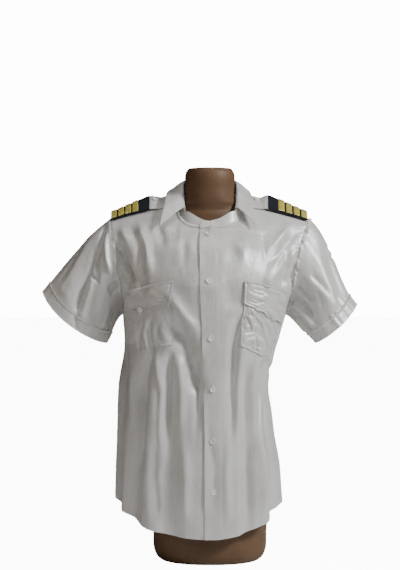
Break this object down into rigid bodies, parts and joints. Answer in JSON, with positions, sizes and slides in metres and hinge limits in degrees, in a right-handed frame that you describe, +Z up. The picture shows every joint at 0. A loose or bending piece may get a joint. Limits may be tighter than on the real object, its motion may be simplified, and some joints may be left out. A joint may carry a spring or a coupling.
{
  "type": "pilot shirt on a display form",
  "caption": "White short-sleeved pilot shirt with pointed collar, flapped chest pockets and barred shoulder slides, buttoned on a limbless brown torso form.",
  "frame": {"origin": "centre of the form's flat underside, which stands on the surface", "axes": "+Z up; the shirt's front faces -Y; the wearer's right side is at -X"},
  "size_m": [0.7028, 0.2711, 0.869],
  "materials": {
    "white_cloth": "satin weave",
    "navy_felt": "felt",
    "gold_braid": "metallic braid",
    "button_plastic": "pearl",
    "form_brown": "semi-gloss"
  },
  "bodies": {
    "root": {"front_right": "white_cloth", "front_left": "white_cloth", "front_band": "white_cloth", "back": "white_cloth", "yoke": "white_cloth", "collar_stand": "white_cloth", "collar_leaf": "white_cloth", "sleeve_right": "white_cloth", "sleeve_hem_right": "white_cloth", "pocket_right": "white_cloth", "flap_right": "white_cloth", "shoulder_strap_right": "white_cloth", "sleeve_left": "white_cloth", "sleeve_hem_left": "white_cloth", "pocket_left": "white_cloth", "flap_left": "white_cloth", "shoulder_strap_left": "white_cloth", "rank_slide_right": "navy_felt", "rank_slide_left": "navy_felt", "rank_bar_right_1": "gold_braid", "rank_bar_right_2": "gold_braid", "rank_bar_right_3": "gold_braid", "rank_bar_right_4": "gold_braid", "rank_bar_left_1": "gold_braid", "rank_bar_left_2": "gold_braid", "rank_bar_left_3": "gold_braid", "rank_bar_left_4": "gold_braid", "button_front_1": "button_plastic", "button_front_2": "button_plastic", "button_front_3": "button_plastic", "button_front_4": "button_plastic", "button_front_5": "button_plastic", "button_front_6": "button_plastic", "button_pocket_right": "button_plastic", "button_strap_right": "button_plastic", "button_strap_left": "button_plastic", "display_form": "form_brown"}
  },
  "joints": []
}
